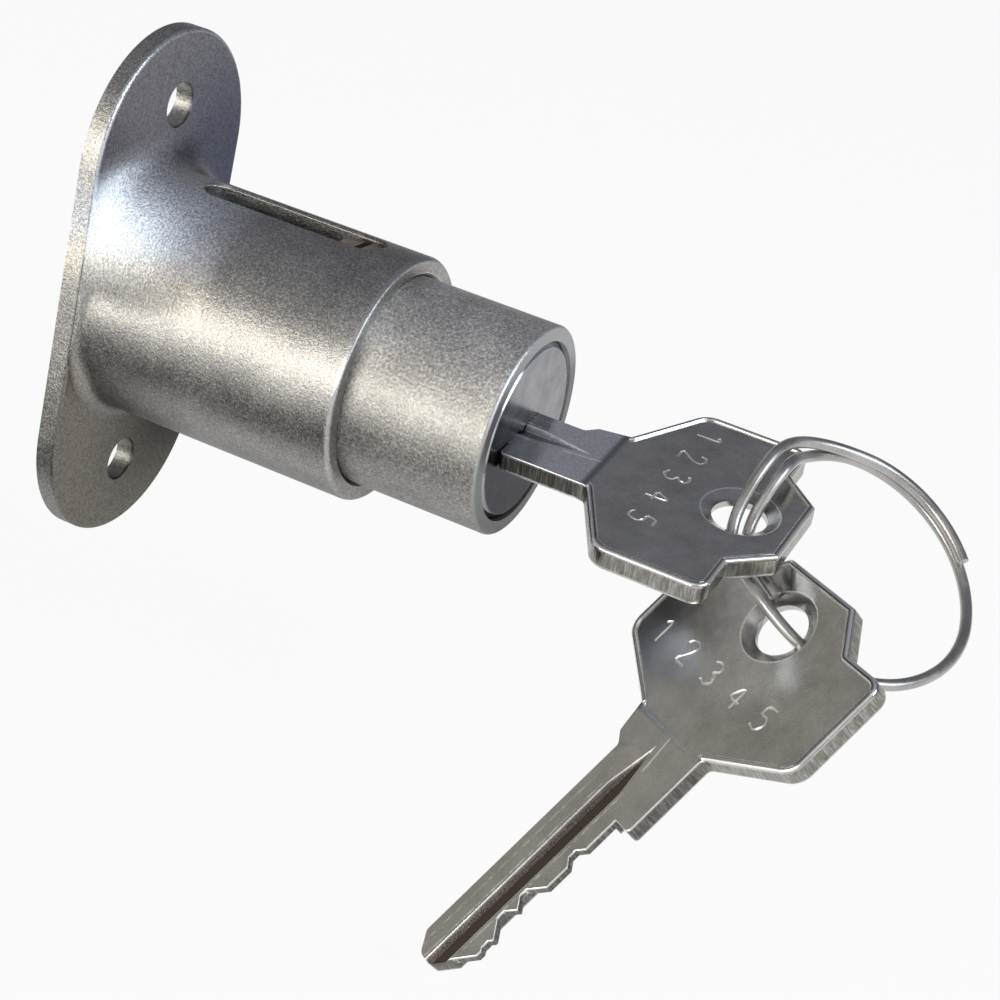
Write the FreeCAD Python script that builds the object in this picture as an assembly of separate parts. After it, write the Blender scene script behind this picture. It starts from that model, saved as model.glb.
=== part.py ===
import FreeCAD, Part
import math
import os

V = FreeCAD.Vector
ORIGIN = V(0, 0, 0)
X_AXIS = V(1, 0, 0)
Y_AXIS = V(0, 1, 0)
Z_AXIS = V(0, 0, 1)

# Frame: the origin is the middle of the flange's back, +X runs along the barrel
# towards the key, and +Z is up along the flange. Every size is in millimetres.

# Flange and barrel
barrel_radius = 11.0
barrel_length = 25.0
barrel_wall = 1.62
barrel_rim_round = 0.5
mouth_chamfer = 0.25
flange_margin = 0.3
flange_width = 2 * (barrel_radius + flange_margin)
flange_height = 47.0
flange_thickness = 1.8
flange_edge_round = 0.35
screw_hole_radius = 2.06
screw_hole_spacing = 33.6
root_flare = 1.2
rear_wall = 2.0
bore_radius = barrel_radius - barrel_wall
barrel_front = flange_thickness + barrel_length

# Clearances
sliding_gap = 0.08
turning_gap = 0.05
face_gap = 0.1
pin_gap = 0.06

# Plunger
travel = 12.6
plunger_radius = bore_radius - sliding_gap
plunger_out = 12.8
plunger_front = barrel_front + plunger_out
plunger_edge_round = 0.35
plunger_rim = 1.35
bolt_radius = 4.0
bolt_end = 0.2
bolt_chamfer = 0.5
spigot_radius = 2.5
cap_setback = 1.7
cap_radius = plunger_radius - cap_setback
cap_thickness = 1.1

# Plug and its head, as long as the key's blade asks
blade_length = 18.15
plug_end_wall = 0.85
head_radius = plunger_radius - plunger_rim
head_thickness = 1.95
head_chamfer = 0.55
plug_radius = 5.15
plug_rear = plunger_front - blade_length - plug_end_wall
clip_thickness = 0.45
clip_setback = 0.9
clip_front = plug_rear + clip_setback
clip_overhang = 0.8
clip_outer = plug_radius + clip_overhang
clip_depth = 0.5
clip_opening = 3.4
cavity_radius = clip_outer + 0.25

# Crank pin and latch
crank_throw = 1.0
crank_pin_radius = 0.8
latch_rate = 0.9 * crank_throw
latch_thickness = 1.2
latch_front = plug_rear - 0.2
latch_nose_width = 4.0
latch_body_width = 6.4
latch_body_top = 2.6
latch_body_bottom = -3.8
latch_stroke = 1.22
latch_nose_end = bore_radius - latch_stroke - 0.31
latch_pocket_depth = 0.82
latch_pocket_gap = 0.3
plunger_rear_room = 1.2
plunger_rear = latch_front - latch_thickness - plunger_rear_room

# Guide screw in the top slot
guide_head_radius = 2.0
guide_shank_radius = 1.2
guide_seat_depth = 0.4
guide_head_below = 0.55
guide_head_bottom = plunger_radius - guide_seat_depth
guide_head_top = barrel_radius - guide_head_below
guide_shank_end = cavity_radius + 0.4
slot_width = 2 * (guide_head_radius + face_gap)
slot_end_gap = 0.1
slot_spare_length = 1.1

# Key: u runs from the shoulder to the bow, v across towards the uncut edge
key_thickness = 2.0
bow_rim_height = 0.15
bow_rim_width = 0.6
key_face = key_thickness / 2 - bow_rim_height
blade_back = 2.04
blade_crest = -3.55
neck_edge = -5.28
back_step_start = 4.3
back_step_end = 5.2
back_step_height = 3.0
bow_axis = -0.94
bow_half_width = 11.64
bow_start = 7.98
bow_start_half = 4.5
bow_full = 11.84
bow_step = 21.4
bow_step_half = 7.14
bow_end = 24.59
bow_end_half = 4.17
bow_corner_round = 2.0
ring_hole_centre = 19.7
ring_hole_radius = 2.3
ring_hole_bevel_radius = 3.3
ring_hole_land = 0.6
nose_slope = 3.3
nose_back_slope = 1.55
nose_low = -0.5
nose_high = 0.7
groove_low = -1.9
groove_high = -0.1
groove_depth = 0.45
groove_wall = 0.5
groove_end = 1.6
groove_runout = 4.9
ward_high = -2.0
ward_end = -0.4
blade_edge_thickness = 0.8
ridge_gap = 0.2

# Pins: five cuts along the blade, counted from the shoulder
cut_depths = (0.65, 0.0, 1.3, 1.3, 0.25)
first_cut = 4.18
last_cut_to_nose = 4.37
cut_pitch = (blade_length - first_cut - last_cut_to_nose) / (len(cut_depths) - 1)
cut_flat = 0.64
pin_radius = 0.8
pin_tip_radius = 0.3
chamber_radius = pin_radius + pin_gap
shear_gap = 0.08
driver_length = 1.2
cover_thickness = 0.6
cover_floor = plunger_radius - cover_thickness
cover_width = 2.6
cover_overhang = 1.3

# How far the key is turned from the place where it goes in
key_turned = -77.0

# Springs
return_wire = 0.7
return_coil_radius = bore_radius - 0.88
return_curls = 4
driver_coil_outer = 0.65
driver_coil_inner = 0.4

# Key ring: one wire wound one and a half times
ring_wire = 1.0
ring_mean_radius = 10.65
strand_spacing = 1.46
ring_ahead = 10.45
ring_aside = 4.736
ring_below = 0.389
ring_normal = V(0.466, -0.336, 0.818).normalize()
ring_first_angle = -40.0
ring_last_angle = 516.0
ring_station_step = 27.8
ring_crossover_start = 168.0
ring_crossover_length = 130.0
ring_fall_delay = 20.0
ring_side_by_side_until = 25.0
ring_stacking_length = 62.0
ring_stacked_angle = 105.0
ring_kink_height = 1.73
ring_kink_width = 19.7
ring_kink_angle = 9.7
ring_lift = -1.87

# Spare key on the ring
spare_behind = 3.39
spare_aside = 9.46
spare_below = 5.25
spare_direction = V(0.379, 0.534, 0.756).normalize()
spare_side = V(-0.813, 0.582, -0.005)


os.makedirs("parts", exist_ok=True)


def save(shape, name):
    """Write one named piece and say how large it is."""
    if not shape.isValid():
        print("warning:", name, "is not valid")
    shape.exportStep("parts/" + name + ".step")
    print(name, "solids", len(shape.Solids), "volume", round(shape.Volume, 3))


def rod(radius, x_from, x_to, y=0.0, z=0.0):
    """A round bar along X."""
    return Part.makeCylinder(radius, x_to - x_from, V(x_from, y, z), X_AXIS)


def block(x_from, x_to, y_from, y_to, z_from, z_to):
    """A plain box between two corners."""
    return Part.makeBox(x_to - x_from, y_to - y_from, z_to - z_from, V(x_from, y_from, z_from))


def turned_profile(points):
    """Turn an outline of (x, radius) points round the X axis."""
    corners = [V(x, 0, radius) for x, radius in points]
    face = Part.Face(Part.makePolygon(corners + corners[:1]))
    return face.revolve(ORIGIN, X_AXIS, 360)


def rounded_wire(corners):
    """A closed outline in the plane Z = 0 from (x, y, corner radius)."""
    edges = []
    tangent_points = []
    count = len(corners)
    for i in range(count):
        before = V(corners[i - 1][0], corners[i - 1][1], 0)
        here = V(corners[i][0], corners[i][1], 0)
        after = V(corners[(i + 1) % count][0], corners[(i + 1) % count][1], 0)
        radius = corners[i][2]
        back = (before - here).normalize()
        ahead = (after - here).normalize()
        if radius == 0:
            tangent_points.append((here, None, here))
            continue
        half_angle = 0.5 * math.acos(max(-1.0, min(1.0, back.dot(ahead))))
        reach = radius / math.tan(half_angle)
        inward = (back + ahead).normalize()
        centre = here + inward * (radius / math.sin(half_angle))
        middle = centre - inward * radius
        tangent_points.append((here + back * reach, middle, here + ahead * reach))
    for i in range(count):
        first, middle, last = tangent_points[i]
        if middle is not None:
            edges.append(Part.Arc(first, middle, last).toShape())
        following = tangent_points[(i + 1) % count][0]
        if last.distanceToPoint(following) > 1e-6:
            edges.append(Part.makeLine(last, following))
    return Part.Wire(edges)


def arc_between(start, tangent, end):
    """One arc from start, leaving along tangent, to end, with its end tangent."""
    chord = end - start
    along = chord.dot(tangent)
    side = chord - tangent * along
    if side.Length < 1e-7:
        return Part.makeLine(start, end), tangent
    side.normalize()
    radius = chord.dot(chord) / (2 * chord.dot(side))
    half = math.atan2(chord.dot(side), along)
    middle = start + tangent * (radius * math.sin(half)) + side * (radius * (1 - math.cos(half)))
    end_tangent = tangent * math.cos(2 * half) + side * math.sin(2 * half)
    return Part.Arc(start, middle, end).toShape(), end_tangent


def biarc(start, start_tangent, end, end_tangent):
    """Two arcs that meet smoothly between two points with given directions."""
    span = end - start
    both = start_tangent + end_tangent
    spread = 2 * (1 - start_tangent.dot(end_tangent))
    if spread < 1e-9:
        reach = span.dot(span) / (4 * span.dot(end_tangent))
    else:
        root = math.sqrt(span.dot(both) ** 2 + spread * span.dot(span))
        reach = (root - span.dot(both)) / spread
    meet = (start + end + (start_tangent - end_tangent) * reach) * 0.5
    first, tangent = arc_between(start, start_tangent, meet)
    second, tangent = arc_between(meet, tangent, end)
    return [first, second]


def wire_along(route, first, last, steps, radius, name):
    """A round wire along route(t), built from biarcs, with its own gap printed."""
    small = (last - first) * 1e-5
    stations = [first + (last - first) * i / steps for i in range(steps + 1)]
    edges = []
    for a, b in zip(stations[:-1], stations[1:]):
        tangent_a = (route(a + small) - route(a - small)).normalize()
        tangent_b = (route(b + small) - route(b - small)).normalize()
        edges += biarc(route(a), tangent_a, route(b), tangent_b)
    start_tangent = (route(first + small) - route(first - small)).normalize()
    section = Part.Wire(Part.makeCircle(radius, route(first), start_tangent))
    shell = Part.BRepOffsetAPI.MakePipeShell(Part.Wire(edges))
    shell.add(section)
    shell.build()
    shell.makeSolid()
    print(name, "least gap to itself", round(least_gap(route, first, last, radius), 3))
    return shell.shape()


def least_gap(route, first, last, radius):
    """The least space between two stretches of one wire, measured on points."""
    count = 360
    points = [route(first + (last - first) * i / count) for i in range(count + 1)]
    length = sum(a.distanceToPoint(b) for a, b in zip(points[:-1], points[1:]))
    skip = max(2, int(math.pi * 2.4 * radius / (length / count)) + 1)
    least = 1e9
    for i in range(len(points)):
        for j in range(i + skip, len(points)):
            least = min(least, points[i].distanceToPoint(points[j]))
    return least - 2 * radius


def ease(value):
    """A smooth rise from 0 to 1."""
    value = max(0.0, min(1.0, value))
    return value * value * (3 - 2 * value)


def stadium(x_from, x_to):
    """The flange's outline as a plate between two X places."""
    half = flange_width / 2
    reach = (flange_height - flange_width) / 2
    lower = Part.Arc(V(x_from, -half, -reach), V(x_from, 0, -reach - half), V(x_from, half, -reach))
    upper = Part.Arc(V(x_from, half, reach), V(x_from, 0, reach + half), V(x_from, -half, reach))
    right = Part.makeLine(V(x_from, half, -reach), V(x_from, half, reach))
    left = Part.makeLine(V(x_from, -half, reach), V(x_from, -half, -reach))
    outline = Part.Wire([lower.toShape(), right, upper.toShape(), left])
    return Part.Face(outline).extrude(V(x_to - x_from, 0, 0))


def edges_at(shape, x, least_radius, most_radius):
    """The round edges of a shape that lie in the plane at x."""
    found = []
    for edge in shape.Edges:
        box = edge.BoundBox
        if abs(box.XMin - x) > 1e-4 or abs(box.XMax - x) > 1e-4:
            continue
        reach = max(box.YLength, box.ZLength) / 2
        if least_radius <= reach <= most_radius:
            found.append(edge)
    return found


def slot_cutter(x_from, x_to, width, z_from, z_to):
    """A straight slot with round ends along X, cut down along Z."""
    half = width / 2
    start = Part.makeCylinder(half, z_to - z_from, V(x_from + half, 0, z_from))
    end = Part.makeCylinder(half, z_to - z_from, V(x_to - half, 0, z_from))
    middle = block(x_from + half, x_to - half, -half, half, z_from, z_to)
    return start.fuse([end, middle]).removeSplitter()


# Places that follow from the driving dimensions
guide_screw_x = plunger_rear + 3.35
slot_front = guide_screw_x + guide_head_radius + slot_end_gap
slot_back = guide_screw_x - travel - guide_head_radius - slot_spare_length
latch_rear = latch_front - latch_thickness
cap_front = plunger_rear + cap_thickness
shoulder_x = clip_front + face_gap
head_back = plunger_front - face_gap / 2 - head_thickness
chamber_xs = [plunger_front - first_cut - cut_pitch * i for i in range(len(cut_depths))]
turn_limit_home = -key_turned
crank_rest_angle = 180.0 - 45.0 + 13.0


def build_housing():
    """Flange and barrel in one casting, with the bore, slot and latch pocket."""
    plate = stadium(0, flange_thickness)
    half_span = flange_height / 2
    rims = edges_at(plate, flange_thickness, 1.0, half_span + 1)
    plate = plate.makeFillet(flange_edge_round, rims)
    barrel = rod(barrel_radius, 0, barrel_front)
    barrel = barrel.makeFillet(barrel_rim_round, edges_at(barrel, barrel_front, bore_radius, 2 * barrel_radius))
    flare_top = barrel_radius + root_flare
    flare_end = flange_thickness + root_flare
    bend = root_flare * (1 - math.sqrt(0.5))
    start = V(flange_thickness, 0, flare_top)
    middle = V(flange_thickness + bend, 0, barrel_radius + bend)
    end = V(flare_end, 0, barrel_radius)
    low_end = V(flare_end, 0, barrel_radius - 1)
    low_start = V(flange_thickness, 0, barrel_radius - 1)
    profile = Part.Wire([
        Part.Arc(start, middle, end).toShape(),
        Part.makeLine(end, low_end),
        Part.makeLine(low_end, low_start),
        Part.makeLine(low_start, start),
    ])
    flare = Part.Face(profile).revolve(ORIGIN, X_AXIS, 360)
    flare = flare.common(stadium(0, flare_end + 1))
    body = plate.fuse([barrel, flare])
    bore = rod(bore_radius, rear_wall, barrel_front + 1)
    mouth = turned_profile([
        (barrel_front - mouth_chamfer, 0), (barrel_front + 0.05, 0),
        (barrel_front + 0.05, bore_radius + mouth_chamfer + 0.05),
        (barrel_front - mouth_chamfer, bore_radius),
    ])
    bolt_hole = rod(bolt_radius + pin_gap, -1, rear_wall + 1)
    slot = slot_cutter(slot_back, slot_front, slot_width, bore_radius - 1.5, barrel_radius + 1)
    locked_front = latch_front - travel + latch_pocket_gap
    locked_rear = latch_rear - travel - latch_pocket_gap
    pocket_half = latch_nose_width / 2 + latch_pocket_gap
    pocket_floor = bore_radius + latch_pocket_depth
    pocket = block(locked_rear, locked_front, -pocket_half, pocket_half, -pocket_floor, 1 - bore_radius)
    cutters = [bore, mouth, bolt_hole, slot, pocket]
    for side in (-1, 1):
        place = side * screw_hole_spacing / 2
        cutters.append(rod(screw_hole_radius, -1, flange_thickness + 1, 0, place))
    return body.cut(cutters).removeSplitter()


def build_plunger():
    """The sliding cylinder that carries the plug, pins and latch."""
    body = rod(plunger_radius, plunger_rear, plunger_front)
    body = body.makeFillet(plunger_edge_round, edges_at(body, plunger_front, head_radius, 2 * plunger_radius))
    head_seat = rod(head_radius + turning_gap, head_back - face_gap / 2, plunger_front + 1)
    plug_bore = rod(plug_radius + turning_gap, shoulder_x, plunger_front)
    cavity = rod(cavity_radius, cap_front - 0.5, shoulder_x)
    cap_seat = rod(cap_radius, plunger_rear - 1, cap_front)
    latch_way = block(latch_rear - turning_gap, latch_front + turning_gap,
                      -latch_nose_width / 2 - turning_gap, latch_nose_width / 2 + turning_gap,
                      -plunger_radius - 1, -cavity_radius + 1)
    screw_seat = Part.makeCylinder(guide_head_radius + face_gap, 2, V(guide_screw_x, 0, guide_head_bottom))
    screw_hole = Part.makeCylinder(guide_shank_radius, 4, V(guide_screw_x, 0, guide_shank_end - 0.1))
    cover_way = block(chamber_xs[-1] - cover_overhang, chamber_xs[0] + cover_overhang,
                      -cover_width / 2, cover_width / 2, -plunger_radius - 1, -cover_floor)
    cutters = [head_seat, plug_bore, cavity, cap_seat, latch_way, screw_seat, screw_hole, cover_way]
    for x in chamber_xs:
        depth = plunger_radius - plug_radius + 1.2
        cutters.append(Part.makeCylinder(chamber_radius, depth, V(x, 0, -plunger_radius)))
    return body.cut(cutters).removeSplitter()


def build_rear_cap():
    """The disc that closes the plunger's back and holds the bolt."""
    cap = rod(cap_radius, plunger_rear, cap_front)
    return cap.cut(rod(spigot_radius, plunger_rear - 1, cap_front + 1))


def build_locking_bolt():
    """The round bolt that comes out of the flange's back when pushed in."""
    bolt = rod(bolt_radius, bolt_end, plunger_rear)
    bolt = bolt.makeChamfer(bolt_chamfer, edges_at(bolt, bolt_end, spigot_radius, 2 * bolt_radius))
    return bolt.fuse(rod(spigot_radius, plunger_rear - 0.5, cap_front)).removeSplitter()


def build_chamber_cover():
    """The strip that closes the five pin chambers."""
    strip = block(chamber_xs[-1] - cover_overhang, chamber_xs[0] + cover_overhang,
                  -cover_width / 2, cover_width / 2, -plunger_radius, -cover_floor)
    return strip.common(rod(plunger_radius - 0.02, plunger_rear, plunger_front))


def build_guide_screw():
    """The slotted screw whose head runs in the barrel's top slot."""
    head_height = guide_head_top - guide_head_bottom
    head = Part.makeCylinder(guide_head_radius, head_height, V(guide_screw_x, 0, guide_head_bottom))
    top = [edge for edge in head.Edges if abs(edge.BoundBox.ZMin - guide_head_top) < 1e-4]
    head = head.makeChamfer(0.2, top)
    shank_length = guide_head_bottom - guide_shank_end + 0.2
    shank = Part.makeCylinder(guide_shank_radius, shank_length, V(guide_screw_x, 0, guide_shank_end))
    driver_cut = block(guide_screw_x - 0.3, guide_screw_x + 0.3, -3, 3, guide_head_top - 0.6, guide_head_top + 1)
    return head.fuse(shank).cut(driver_cut).removeSplitter()


def key_outline():
    """The key's flat outline, from the blade's nose to the bow and back."""
    top = bow_axis + bow_half_width
    low = bow_axis - bow_half_width
    slope = (bow_full - bow_start) / (bow_half_width - bow_start_half)
    bow_start_low = bow_start + slope * (bow_axis - neck_edge - bow_start_half)
    return [
        (nose_back_slope - blade_length, blade_back, 0.5),
        (back_step_start, blade_back, 0.5),
        (back_step_end, back_step_height, 0.4),
        (bow_start, bow_axis + bow_start_half, 0.3),
        (bow_full, top, bow_corner_round),
        (bow_step, top, 1.3),
        (bow_step, bow_axis + bow_step_half, 0.15),
        (bow_end, bow_axis + bow_end_half, 0.3),
        (bow_end, bow_axis - bow_end_half, 0.3),
        (bow_step, bow_axis - bow_step_half, 0.15),
        (bow_step, low, 1.3),
        (bow_full, low, bow_corner_round),
        (bow_start_low, neck_edge, 0.6),
        (0, neck_edge, 0.4),
        (0, blade_crest, 0),
        (nose_slope - blade_length, blade_crest, 0),
        (-blade_length, nose_low, 0.5),
        (-blade_length, nose_high, 1.0),
    ]


def face_cutter(side):
    """What is cut off one side, so that only the bow keeps a raised rim."""
    tall = 1.0
    inside = Part.Face(rounded_wire(key_outline())).makeOffset2D(-bow_rim_width)
    inside = inside.extrude(V(0, 0, tall))
    low = bow_axis - bow_half_width
    shank = block(-blade_length - 1, bow_start, low, bow_half_width, 0, tall)
    cutter = inside.fuse(shank)
    cutter.translate(V(0, 0, key_face if side > 0 else -key_face - tall))
    return cutter


def groove_section(x, gap, top):
    """The groove's outline across the key, narrowed by a gap and open at the top."""
    bottom = key_face - groove_depth + gap
    return Part.makePolygon([
        V(x, groove_low + gap, top),
        V(x, groove_low + groove_wall + gap, bottom),
        V(x, groove_high - groove_wall - gap, bottom),
        V(x, groove_high - gap, top),
        V(x, groove_low + gap, top),
    ])


def build_key():
    """One key lying flat: u along X, v along Y, the grooved face up."""
    half = key_thickness / 2
    plate = Part.Face(rounded_wire(key_outline())).extrude(V(0, 0, key_thickness))
    plate.translate(V(0, 0, -half))
    cutters = []
    for i, depth in enumerate(cut_depths):
        if depth == 0:
            continue
        middle = -first_cut - cut_pitch * i
        floor = blade_crest + depth
        mouth = cut_flat / 2 + depth + 1
        cutters.append(Part.Face(Part.makePolygon([
            V(middle - cut_flat / 2, floor, -half - 1),
            V(middle + cut_flat / 2, floor, -half - 1),
            V(middle + mouth, blade_crest - 1, -half - 1),
            V(middle - mouth, blade_crest - 1, -half - 1),
            V(middle - cut_flat / 2, floor, -half - 1),
        ])).extrude(V(0, 0, key_thickness + 2)))
    section = groove_section(groove_end, 0, key_face + 0.01)
    middle = V(groove_end + groove_runout, (groove_low + groove_high) / 2, key_face + 0.01)
    cutters.append(Part.Face(section).extrude(V(-blade_length - groove_end - 1, 0, 0)))
    cutters.append(Part.makeLoft([section, Part.Vertex(middle)], True))
    cutters.append(block(-blade_length - 1, ward_end, blade_crest - 1, ward_high,
                         -half - 1, key_face - blade_edge_thickness))
    centre = V(ring_hole_centre, bow_axis, -half - 1)
    cutters.append(Part.makeCylinder(ring_hole_radius, key_thickness + 2, centre))
    land = ring_hole_land / 2
    bevel_height = key_face - land
    for side in (-1, 1):
        base = V(ring_hole_centre, bow_axis, side * land)
        cutters.append(Part.makeCone(ring_hole_radius, ring_hole_bevel_radius, bevel_height, base, Z_AXIS * side))
        cutters.append(face_cutter(side))
    return plate.cut(cutters).removeSplitter()


def place_key(shape, hole_centre, direction, side):
    """Lay a flat key with its ring hole at a point and its blade facing back."""
    across = (side - direction * side.dot(direction)).normalize()
    facing = direction.cross(across)
    start = hole_centre - direction * ring_hole_centre - across * bow_axis
    matrix = FreeCAD.Matrix(
        direction.x, across.x, facing.x, start.x,
        direction.y, across.y, facing.y, start.y,
        direction.z, across.z, facing.z, start.z,
        0, 0, 0, 1)
    placed = shape.copy()
    placed.Placement = FreeCAD.Placement(matrix)
    return placed


def turned(shape, angle=key_turned):
    """A piece of the plug, turned from its home place to where the key is now."""
    copy = shape.copy()
    copy.rotate(ORIGIN, X_AXIS, angle)
    return copy


def build_plug():
    """The cylinder that the key turns, with its keyway, chambers and crank pin."""
    front = plunger_front - face_gap / 2
    head = rod(head_radius, head_back, front)
    head = head.makeChamfer(head_chamfer, edges_at(head, front, plug_radius, 2 * head_radius))
    body = rod(plug_radius, plug_rear, head_back + 0.5)
    plug = head.fuse(body).removeSplitter()
    half = key_face + turning_gap
    keyway = block(plunger_front - blade_length - 0.2, front + 1, -half, half,
                   blade_crest - face_gap, blade_back + face_gap)
    ridge_start = plunger_front - blade_length - 0.5
    ridge = Part.Face(groove_section(ridge_start, ridge_gap, half + 0.2))
    ridge = ridge.extrude(V(front - ridge_start, 0, 0))
    ridge.rotate(ORIGIN, X_AXIS, 90)
    cutters = [keyway.cut(ridge)]
    groove = rod(plug_radius + 1, clip_front - clip_thickness - turning_gap, clip_front + turning_gap)
    cutters.append(groove.cut(rod(plug_radius - clip_depth, plug_rear, clip_front + 1)))
    for x in chamber_xs:
        cutters.append(Part.makeCylinder(chamber_radius, plug_radius - 2.4, V(x, 0, -plug_radius - 0.2)))
    plug = turned(plug.cut(cutters).removeSplitter())
    angle = math.radians(crank_rest_angle)
    pin = rod(crank_pin_radius, latch_rear + 0.1, plug_rear + 0.3,
              crank_throw * math.cos(angle), crank_throw * math.sin(angle))
    return plug.fuse(pin).removeSplitter()


def build_key_pin(index):
    """A lower pin between the key's cut and the plug's edge."""
    bottom = -blade_crest - cut_depths[index] + 0.02
    top = plug_radius - face_gap
    taper = pin_radius - pin_tip_radius
    tip = Part.makeCone(pin_tip_radius, pin_radius, taper, V(chamber_xs[index], 0, -bottom), Z_AXIS * -1)
    length = top - bottom - taper
    shaft = Part.makeCylinder(pin_radius, length, V(chamber_xs[index], 0, -bottom - taper), Z_AXIS * -1)
    return turned(tip.fuse(shaft).removeSplitter())


def build_driver_pin(index):
    """An upper pin, held outside the plug by its spring."""
    start = plug_radius + shear_gap
    pin = Part.makeCylinder(pin_radius, driver_length, V(chamber_xs[index], 0, -start), Z_AXIS * -1)
    return pin.makeChamfer(0.15, [edge for edge in pin.Edges if edge.BoundBox.ZLength < 1e-4])


def build_driver_spring(index):
    """The small spring under one upper pin, as the sleeve that its curls fill."""
    start = plug_radius + shear_gap + driver_length + 0.02
    length = cover_floor - 0.02 - start
    outer = Part.makeCylinder(driver_coil_outer, length, V(chamber_xs[index], 0, -start), Z_AXIS * -1)
    inner = Part.makeCylinder(driver_coil_inner, length, V(chamber_xs[index], 0, -start), Z_AXIS * -1)
    return outer.cut(inner)


def build_return_spring():
    """The large spring that pushes the plunger out."""
    start = rear_wall + return_wire / 2 + 0.03
    length = plunger_rear - rear_wall - return_wire - 0.06

    def route(turn):
        angle = 2 * math.pi * turn
        return V(start + length * turn / return_curls,
                 return_coil_radius * math.cos(angle), return_coil_radius * math.sin(angle))

    return wire_along(route, 0, return_curls, return_curls * 2, return_wire / 2, "return_spring")


def build_clip():
    """The open spring clip that keeps the plug in the plunger."""
    rear = clip_front - clip_thickness
    ring = rod(clip_outer, rear, clip_front)
    ring = ring.cut(rod(plug_radius - clip_depth + 0.03, rear - 1, clip_front + 1))
    return ring.cut(block(rear - 1, clip_front + 1, 0, clip_outer + 1, -clip_opening / 2, clip_opening / 2))


def build_latch():
    """The sliding plate that the crank pin drives towards the barrel wall."""
    half = latch_body_width / 2
    nose = latch_nose_width / 2
    outline = [
        V(latch_rear, -half, latch_body_top), V(latch_rear, half, latch_body_top),
        V(latch_rear, half, latch_body_bottom), V(latch_rear, nose, latch_body_bottom),
        V(latch_rear, nose, -latch_nose_end + 0.4), V(latch_rear, nose - 0.4, -latch_nose_end),
        V(latch_rear, 0.4 - nose, -latch_nose_end), V(latch_rear, -nose, 0.4 - latch_nose_end),
        V(latch_rear, -nose, latch_body_bottom), V(latch_rear, -half, latch_body_bottom),
        V(latch_rear, -half, latch_body_top),
    ]
    plate = Part.Face(Part.makePolygon(outline)).extrude(V(latch_thickness, 0, 0))
    rest_swing = math.radians(180.0 - crank_rest_angle)
    centre = latch_rate * rest_swing
    radius = crank_pin_radius + face_gap
    left = rod(radius, latch_rear - 1, latch_front + 1, -crank_throw - 0.1, centre)
    right = rod(radius, latch_rear - 1, latch_front + 1, -0.6 * crank_throw, centre)
    middle = block(latch_rear - 1, latch_front + 1, -crank_throw - 0.1, -0.6 * crank_throw,
                   centre - radius, centre + radius)
    return plate.cut([left, right, middle]).removeSplitter()


def ring_route(angle):
    """Where the ring's wire is at an angle in degrees, counted from the key in the lock."""
    centre = ring_middle()
    towards_key = lock_hole_centre() - centre
    first = (towards_key - ring_normal * towards_key.dot(ring_normal)).normalize()
    second = first.cross(ring_normal)
    layer = ease((angle - ring_crossover_start) / ring_crossover_length) - 0.5
    wrapped = (angle + 180) % 360 - 180
    first_rise = ease((angle - ring_side_by_side_until) / ring_stacking_length)
    fall_length = ring_crossover_length - 2 * ring_fall_delay
    fall = ease((angle - ring_crossover_start - ring_fall_delay) / fall_length)
    second_rise = ease((angle - 360 - ring_side_by_side_until) / ring_stacking_length)
    stacked = (first_rise - fall + second_rise) * math.radians(ring_stacked_angle)
    kink = (wrapped - ring_kink_angle) / ring_kink_width
    height = ring_lift + ring_kink_height * kink * math.exp(0.5 - kink * kink / 2)
    radius = ring_mean_radius + layer * strand_spacing * math.cos(stacked)
    height += layer * strand_spacing * math.sin(stacked)
    swing = math.radians(angle)
    spoke = first * math.cos(swing) + second * math.sin(swing)
    return centre + spoke * radius + ring_normal * height


def lock_hole_centre():
    """The middle of the ring hole in the key that is in the lock."""
    angle = math.radians(90 + key_turned)
    along = V(0, math.cos(angle), math.sin(angle))
    return V(plunger_front + ring_hole_centre, 0, 0) + along * bow_axis


def ring_middle():
    """The middle of the key ring."""
    return lock_hole_centre() + V(ring_ahead, ring_aside, -ring_below)


def spare_hole_centre():
    """The middle of the ring hole in the spare key."""
    return ring_middle() - V(spare_behind, spare_aside, spare_below)


def build_key_ring():
    """The split ring, one unbroken wire."""
    steps = round((ring_last_angle - ring_first_angle) / ring_station_step)
    return wire_along(ring_route, ring_first_angle, ring_last_angle, steps, ring_wire / 2, "key_ring")


def main():
    save(build_housing(), "housing")
    save(build_plunger(), "plunger_body")
    save(build_rear_cap(), "rear_cap")
    save(build_locking_bolt(), "locking_bolt")
    save(build_chamber_cover(), "chamber_cover")
    save(build_guide_screw(), "guide_screw")
    save(build_return_spring(), "return_spring")
    save(build_plug(), "plug")
    save(build_clip(), "retaining_clip")
    save(build_latch(), "latch")
    for index in range(len(cut_depths)):
        number = "_" + str(index + 1)
        save(build_key_pin(index), "key_pin" + number)
        save(build_driver_pin(index), "driver_pin" + number)
        save(build_driver_spring(index), "driver_spring" + number)
    key = build_key()
    key_angle = math.radians(90 + key_turned)
    key_side = V(0, math.cos(key_angle), math.sin(key_angle))
    save(place_key(key, lock_hole_centre(), X_AXIS, key_side), "lock_key")
    save(place_key(key, spare_hole_centre(), spare_direction, spare_side), "spare_key")
    save(build_key_ring(), "key_ring")


main()
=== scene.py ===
import math

import bmesh
import bpy
from mathutils import Matrix, Vector
from mathutils.kdtree import KDTree


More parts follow.
